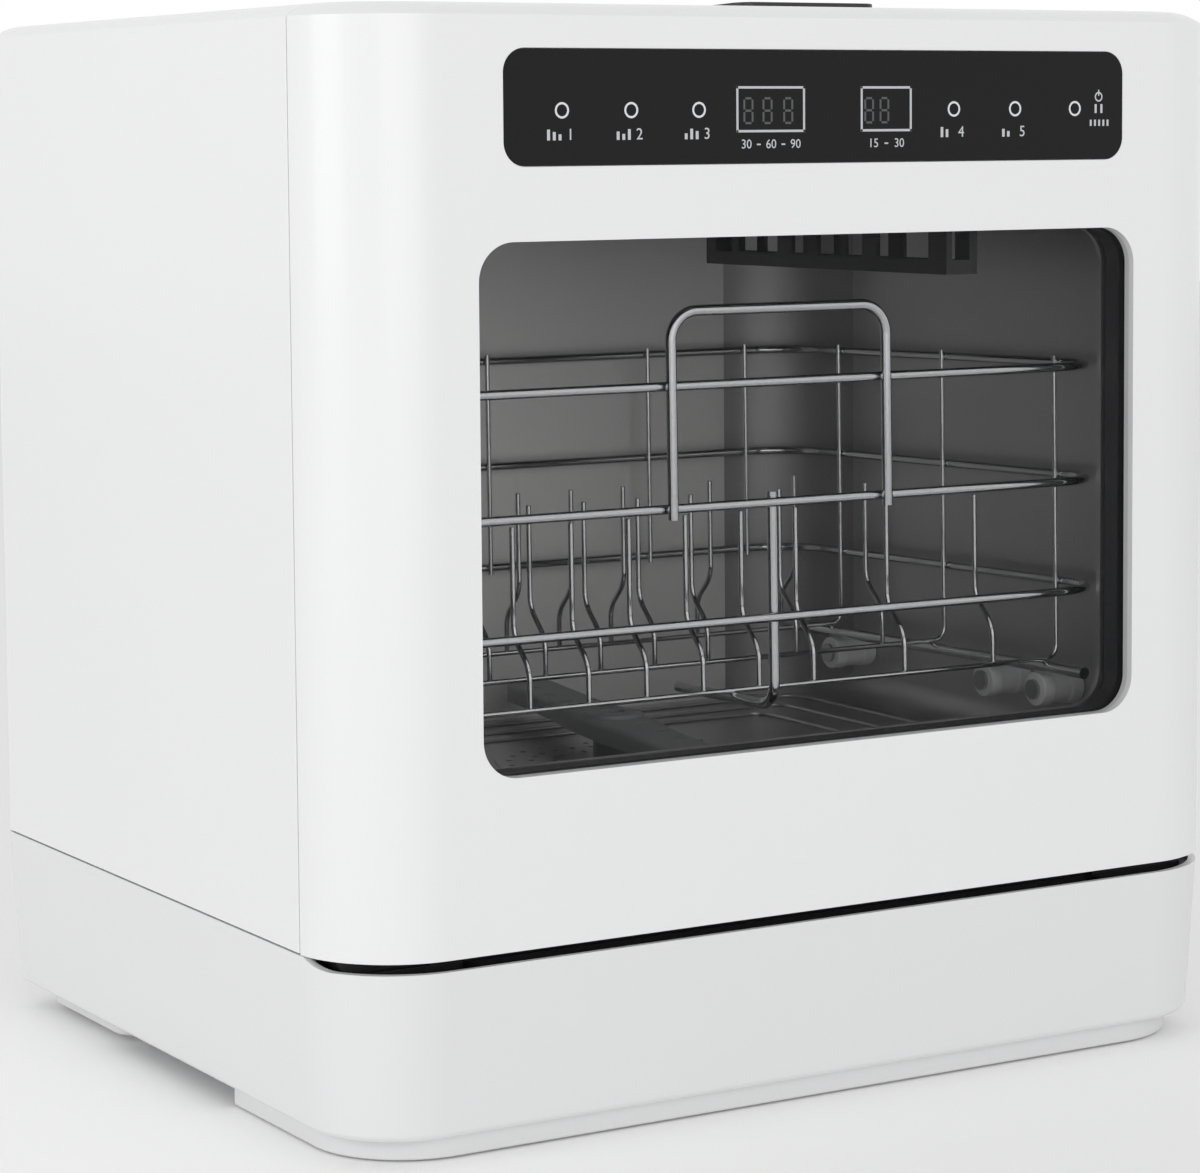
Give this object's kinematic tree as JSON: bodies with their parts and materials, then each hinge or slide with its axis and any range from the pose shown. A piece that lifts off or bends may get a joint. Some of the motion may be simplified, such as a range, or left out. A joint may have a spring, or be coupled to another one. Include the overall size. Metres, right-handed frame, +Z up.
{
  "type": "countertop dishwasher",
  "caption": "Freestanding countertop dishwasher with a drop-down glazed door, a sliding wire rack, a spray arm, a top fill lid and a rear water tank.",
  "frame": {"origin": "on the worktop, under the centre of the body", "axes": "+X to the right seen from the front, +Y from the door to the back, +Z up"},
  "size_m": [0.43, 0.3422, 0.4441],
  "materials": {
    "base_housing": "gloss",
    "base_deck": "satin",
    "connection_bay": "satin",
    "base_pan": "satin zinc",
    "front_plinth": "satin",
    "rear_feet": "satin",
    "foot_pads": "matte",
    "left_side_panel": "gloss",
    "right_side_panel": "gloss",
    "top_cover": "gloss",
    "rear_panel": "satin",
    "rear_panel_screws": "plated",
    "front_frame": "satin",
    "wash_tub": "satin",
    "tub_back_wall": "satin",
    "tub_seal": "matte",
    "drip_trough": "matte",
    "hinge_brackets": "satin",
    "door_lock": "matte",
    "door_switch_button": "satin",
    "sump_bowl": "satin",
    "fine_filter": "satin",
    "filter_cup": "satin",
    "spray_post": "satin",
    "lower_spray_arm": "satin",
    "wash_pump": "satin",
    "wash_impeller": "satin",
    "drain_pump": "satin",
    "drain_impeller": "satin",
    "wash_pipe": "matte",
    "water_hoses": "matte",
    "heater": "satin",
    "water_tank": "satin",
    "tank_float": "satin",
    "fill_neck": "satin",
    "fill_lid": "gloss",
    "inlet_valve": "satin",
    "drain_spigot": "satin",
    "power_gland": "satin",
    "power_board": "satin",
    "air_outlet": "satin",
    "fan_housing": "satin",
    "fan_wheel": "satin",
    "roller_pins": "satin",
    "front_rollers": "satin",
    "middle_rollers": "satin",
    "rear_rollers": "satin",
    "rack_hoops": "polished",
    "rack_cross_wires": "polished",
    "rack_tines": "polished",
    "rack_runners": "polished",
    "rack_handle": "polished",
    "door_shell": "gloss",
    "control_lens": "gloss",
    "display_modules": "satin",
    "door_glass": "clear",
    "glass_frame": "satin",
    "door_liner": "satin",
    "door_strike": "satin",
    "hinge_leaves": "satin"
  },
  "bodies": {
    "cabinet": {"base_housing": "base_housing", "base_deck": "base_deck", "connection_bay": "connection_bay", "base_pan": "base_pan", "front_plinth": "front_plinth", "rear_feet": "rear_feet", "foot_pads": "foot_pads", "left_side_panel": "left_side_panel", "right_side_panel": "right_side_panel", "top_cover": "top_cover", "rear_panel": "rear_panel", "rear_panel_screws": "rear_panel_screws", "front_frame": "front_frame", "wash_tub": "wash_tub", "tub_back_wall": "tub_back_wall", "tub_seal": "tub_seal", "drip_trough": "drip_trough", "hinge_brackets": "hinge_brackets", "door_lock": "door_lock", "sump_bowl": "sump_bowl", "fine_filter": "fine_filter", "spray_post": "spray_post", "wash_pump": "wash_pump", "drain_pump": "drain_pump", "wash_pipe": "wash_pipe", "water_hoses": "water_hoses", "heater": "heater", "water_tank": "water_tank", "fill_neck": "fill_neck", "inlet_valve": "inlet_valve", "drain_spigot": "drain_spigot", "power_gland": "power_gland", "power_board": "power_board", "air_outlet": "air_outlet", "fan_housing": "fan_housing", "roller_pins": "roller_pins"},
    "door": {"door_shell": "door_shell", "control_lens": "control_lens", "display_modules": "display_modules", "door_glass": "door_glass", "glass_frame": "glass_frame", "door_liner": "door_liner", "door_strike": "door_strike", "hinge_leaves": "hinge_leaves"},
    "rack": {"rack_hoops": "rack_hoops", "rack_cross_wires": "rack_cross_wires", "rack_tines": "rack_tines", "rack_runners": "rack_runners", "rack_handle": "rack_handle"},
    "front_rollers": {"front_rollers": "front_rollers"},
    "middle_rollers": {"middle_rollers": "middle_rollers"},
    "rear_rollers": {"rear_rollers": "rear_rollers"},
    "spray_arm": {"lower_spray_arm": "lower_spray_arm"},
    "wash_impeller": {"wash_impeller": "wash_impeller"},
    "drain_impeller": {"drain_impeller": "drain_impeller"},
    "fan_wheel": {"fan_wheel": "fan_wheel"},
    "tank_float": {"tank_float": "tank_float"},
    "filter_cup": {"filter_cup": "filter_cup"},
    "fill_lid": {"fill_lid": "fill_lid"},
    "door_switch_button": {"door_switch_button": "door_switch_button"}
  },
  "joints": [
    {"name": "door_hinge", "type": "hinge", "parent": "cabinet", "child": "door", "pos_m": [0, -0.164, 0.0828], "axis": [1, 0, 0], "range_deg": [0, 88]},
    {"name": "rack_slide", "type": "slide", "parent": "cabinet", "child": "rack", "axis": [0, -0.9998, 0.0175], "range_m": [0, 0.115]},
    {"name": "front_roller_spin", "type": "hinge", "parent": "cabinet", "child": "front_rollers", "pos_m": [0, -0.09725, 0.14544], "axis": [1, 0, 0], "range_deg": [0, 900]},
    {"name": "middle_roller_spin", "type": "hinge", "parent": "cabinet", "child": "middle_rollers", "pos_m": [0, -0.05925, 0.14477], "axis": [1, 0, 0], "range_deg": [0, 900]},
    {"name": "rear_roller_spin", "type": "hinge", "parent": "cabinet", "child": "rear_rollers", "pos_m": [0, 0.06173, 0.14266], "axis": [1, 0, 0], "range_deg": [0, 900]},
    {"name": "spray_arm_spin", "type": "hinge", "parent": "cabinet", "child": "spray_arm", "pos_m": [0, -0.006, 0.13], "axis": [0, 0, 1], "continuous": true},
    {"name": "wash_impeller_spin", "type": "hinge", "parent": "cabinet", "child": "wash_impeller", "pos_m": [0.08, -0.006, 0.074], "axis": [1, 0, 0], "continuous": true},
    {"name": "drain_impeller_spin", "type": "hinge", "parent": "cabinet", "child": "drain_impeller", "pos_m": [-0.096, 0.01, 0.06], "axis": [0, 1, 0], "continuous": true},
    {"name": "fan_spin", "type": "hinge", "parent": "cabinet", "child": "fan_wheel", "pos_m": [0.118, 0.02, 0.42], "axis": [0, 0, 1], "continuous": true},
    {"name": "float_rise", "type": "slide", "parent": "cabinet", "child": "tank_float", "axis": [0, 0, 1], "range_m": [0, 0.095]},
    {"name": "filter_twist", "type": "hinge", "parent": "cabinet", "child": "filter_cup", "pos_m": [0.033, -0.006, 0.11], "axis": [0, 0, 1], "range_deg": [0, 45]},
    {"name": "fill_lid_hinge", "type": "hinge", "parent": "cabinet", "child": "fill_lid", "pos_m": [0.044, -0.0451, 0.44165], "axis": [-1, 0, 0], "range_deg": [0, 100]},
    {"name": "door_switch_press", "type": "slide", "parent": "cabinet", "child": "door_switch_button", "axis": [0, 1, 0], "range_m": [0, 0.002], "stiffness_N_per_m": 150}
  ],
  "couplings": [
    {"joint": "rack_slide", "follows": "door_hinge", "m_per_rad": 0.07321},
    {"joint": "front_roller_spin", "follows": "door_hinge", "ratio": 9.7613},
    {"joint": "middle_roller_spin", "follows": "door_hinge", "ratio": 9.7613},
    {"joint": "rear_roller_spin", "follows": "door_hinge", "ratio": 9.7613}
  ]
}
